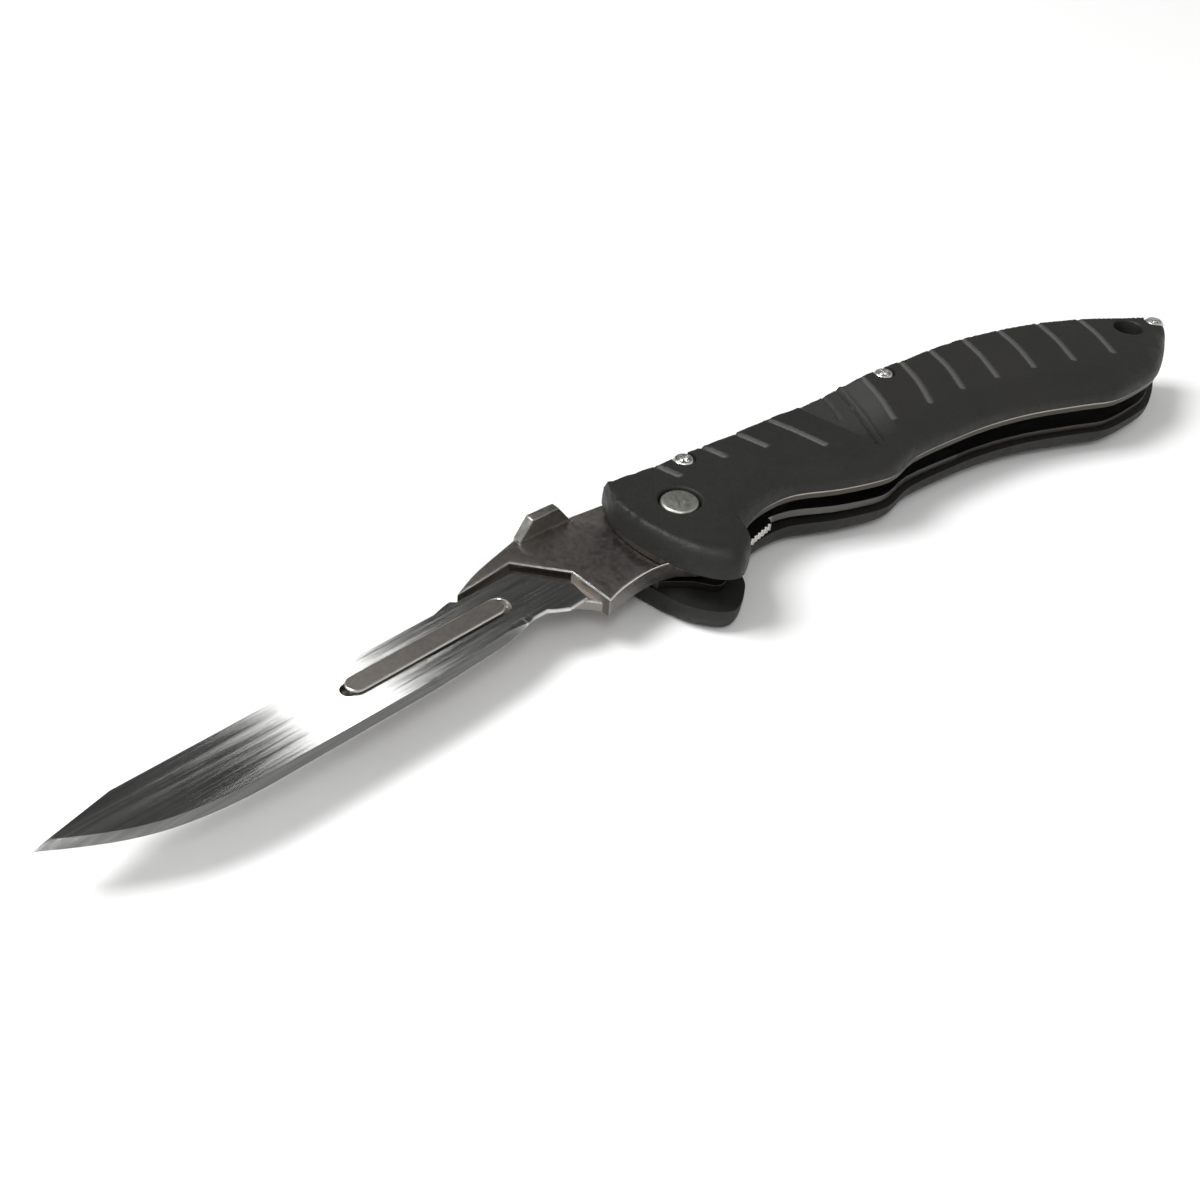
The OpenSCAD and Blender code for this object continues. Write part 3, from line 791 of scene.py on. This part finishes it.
def make_blade():
    """The blade with its ground bevels; the plan comes from the CAD blade's own outline."""
    outline = spaced(smoothed(rim_loop("blade", BLADE_BASE), 2, 10), 1.2)
    u = outline @ (math.cos(BLADE_TURN), math.sin(BLADE_TURN))
    outline = np.roll(outline, -int(np.argmin(u)), 0)
    u = outline @ (math.cos(BLADE_TURN), math.sin(BLADE_TURN))
    ground = int(np.argmax(u > BEVEL_END))
    edge = outline[:ground]
    slot = keyhole(SLOT_FRONT, SLOT_NECK, SLOT_REAR, RAIL_V, SLOT_R_FRONT, SLOT_R_REAR)
    half = (BLADE_TOP - BLADE_BASE) / 2
    mid = (BLADE_TOP + BLADE_BASE) / 2
    share = np.clip((BEVEL_END - u[:ground]) / BEVEL_FADE, 0.05, 1)

    def lift(points):
        distance, place = to_line(points, edge)
        width = BEVEL_W * np.interp(place, np.arange(ground), share)
        grind = np.clip(distance / width, 0, 1)
        rim = np.minimum(to_line(points, outline, True)[0], to_line(points, slot, True)[0])
        broken = EDGE_BREAK * (1 - np.clip(rim / EDGE_BREAK, 0, 1)) * (grind >= 1)
        return EDGE_HALF + (half - EDGE_HALF) * grind - broken

    step = np.gradient(edge, axis=0)
    normal = np.stack([-step[:, 1], step[:, 0]], 1) / np.hypot(*step.T)[:, None]
    shoulder = edge + normal * (BEVEL_W * share)[:, None]
    shoulder = shoulder[inside(shoulder, outline)]
    around = np.roll(outline, -1, 0) - np.roll(outline, 1, 0)
    inward = np.stack([-around[:, 1], around[:, 0]], 1) / np.hypot(*around.T)[:, None]
    rim_line = (outline + inward * EDGE_BREAK)[ground + 1:-1]
    rim_line = rim_line[to_line(rim_line, outline, True)[0] > OFF_RIM]
    rim_line = rim_line[to_line(rim_line, edge)[0] > OFF_EDGE]
    points = grid(outline, 0.9, 0.3, [(edge, BEVEL_W + 0.25)])
    points = points[to_line(points, slot, True)[0] > 0.25]
    points = points[inside(points, outline) & ~inside(points, slot)]
    points = points[to_line(points, outline, True)[0] > OFF_RIM]
    points = points[to_line(points, edge)[0] > OFF_EDGE]
    slot_ring = keyhole(SLOT_FRONT - EDGE_BREAK, SLOT_NECK, SLOT_REAR + EDGE_BREAK, RAIL_V,
                        SLOT_R_FRONT + EDGE_BREAK, SLOT_R_REAR + EDGE_BREAK)
    bm = sheet_solid(outline, [slot], [slot_ring], [shoulder, rim_line], points,
                     lambda p: mid + lift(p),
                     lambda p: mid - lift(p))
    put("blade_ground", to_frame(bm, "blade"), "blade", 6)


def keyhole(front, neck, rear, v, r_front, r_rear, n=14):
    """A slot with round ends, narrow in front of neck and wide behind it, in the blade's lines."""
    a = np.radians(np.linspace(90, 270, n))
    nose = np.stack([front + r_front + r_front * np.cos(a), v + r_front * np.sin(a)], 1)
    b = np.linspace(-math.pi / 2, math.pi / 2, n)
    heel = np.stack([rear - r_rear + r_rear * np.cos(b), v + r_rear * np.sin(b)], 1)
    ease = 0.8
    loop = np.concatenate([nose, [(neck - ease, v - r_front), (neck, v - r_rear)], heel,
                           [(neck, v + r_rear), (neck - ease, v + r_front)]])
    return loop @ np.array([[math.cos(BLADE_TURN), math.sin(BLADE_TURN)],
                            [-math.sin(BLADE_TURN), math.cos(BLADE_TURN)]])


# ---------------------------------------------------------------- stage and light


def make_stage():
    s = Shader("paper_floor")
    s.set(Roughness=0.9, Specular_IOR_Level=0.1)
    s.colour(s.ramp(s.noise(3, detail=2), [(0.3, 0.86), (0.7, 0.88)]))
    bm = bmesh.new()
    bmesh.ops.create_grid(bm, x_segments=24, y_segments=24, size=3)
    mesh = bpy.data.meshes.new("floor")
    bm.to_mesh(mesh)
    bm.free()
    mesh.materials.append(s.material)
    floor = bpy.data.objects.new("floor", mesh)
    floor.location.z = cad_low[2] - 0.00002
    bpy.context.scene.collection.objects.link(floor)


def panel(name, place, target, size, watts, roll=0.0):
    """A soft rectangular light at place that faces target, both in metres from the pivot, and is
    turned by roll degrees in its own plane."""
    data = bpy.data.lights.new(name, "AREA")
    data.shape = "RECTANGLE"
    data.size, data.size_y = size
    data.energy = watts
    light = bpy.data.objects.new(name, data)
    bpy.context.scene.collection.objects.link(light)
    light.location = Vector((PIVOT.x, PIVOT.y, 0)) + Vector(place)
    facing = (Vector(target) - Vector(place)).to_track_quat("-Z", "Y")
    light.rotation_euler = (facing @ Quaternion((0, 0, 1), math.radians(roll))).to_euler()


WORLD_STRENGTH = 0.72
# Where the broad flat faces mirror the camera, the room is dark: its azimuth and elevation
DARK_AZIMUTH, DARK_ELEVATION = 58, 41
MID_BLADE = (-0.0585, 0.003, 0.007)


def make_world():
    world = bpy.data.worlds.new("world")
    bpy.context.scene.world = world
    world.use_nodes = True
    nodes, links = world.node_tree.nodes, world.node_tree.links
    coords = nodes.new("ShaderNodeTexCoord")
    toward = nodes.new("ShaderNodeVectorMath")
    toward.operation = "DOT_PRODUCT"
    azimuth, elevation = math.radians(DARK_AZIMUTH), math.radians(DARK_ELEVATION)
    toward.inputs[1].default_value = (math.cos(elevation) * math.cos(azimuth),
                                      math.cos(elevation) * math.sin(azimuth),
                                      math.sin(elevation))
    ramp = nodes.new("ShaderNodeValToRGB")
    elements = ramp.color_ramp.elements
    stops = [(0.0, 0.95), (0.45, 0.75), (0.8, 0.5), (0.9, 0.4), (0.96, 0.13), (1.0, 0.1)]
    while len(elements) < len(stops):
        elements.new(0.5)
    for element, (place, tone) in zip(elements, stops):
        element.position = place
        element.color = (tone, tone, tone * 0.99, 1)
    links.new(coords.outputs["Generated"], toward.inputs[0])
    links.new(toward.outputs["Value"], ramp.inputs["Fac"])
    links.new(ramp.outputs["Color"], nodes["Background"].inputs["Color"])
    nodes["Background"].inputs["Strength"].default_value = WORLD_STRENGTH


def aimed(azimuth, elevation, distance, target):
    """A place that lies in a given direction from a target point, in metres from the pivot."""
    a, e = math.radians(azimuth), math.radians(elevation)
    return (target[0] + distance * math.cos(e) * math.cos(a),
            target[1] + distance * math.cos(e) * math.sin(a),
            target[2] + distance * math.sin(e))


def make_light():
    make_world()
    panel("key", aimed(140, 57, 1.2, (0, 0, 0)), (0, 0, 0), (0.5, 0.5), 13)
    panel("front", aimed(228, 52, 1.1, (0, 0, 0)), (0, 0, 0), (0.3, 0.3), 2.2)
    panel("strip", aimed(59.2, 43.3, 0.9, MID_BLADE), MID_BLADE, (0.05, 0.2), 0.17, 45)
    bpy.context.scene.view_settings.view_transform = "Standard"


# ---------------------------------------------------------------- build

make_camera()
make_stage()
make_light()
make_scales()
make_blade()
make_holder()
eased("thumb_plate", 0.3, 3)
for part, broken_w in (("front_liner", 0.08), ("back_liner", 0.08), ("lock_leaf", 0.06)):
    eased(part, broken_w)
for i in (1, 2, 3):
    eased(f"front_screw_{i}", 0.06)
    eased(f"back_screw_{i}", 0.06)
for part, broken_w in (("pivot_barrel", 0.08), ("pivot_screw", 0.08), ("thumb_plate_screw", 0.05)):
    eased(part, broken_w)
for node, obj in NODES.items():
    for slot in obj.material_slots:
        slot.material = MATERIALS[SLOT_OF[node]]
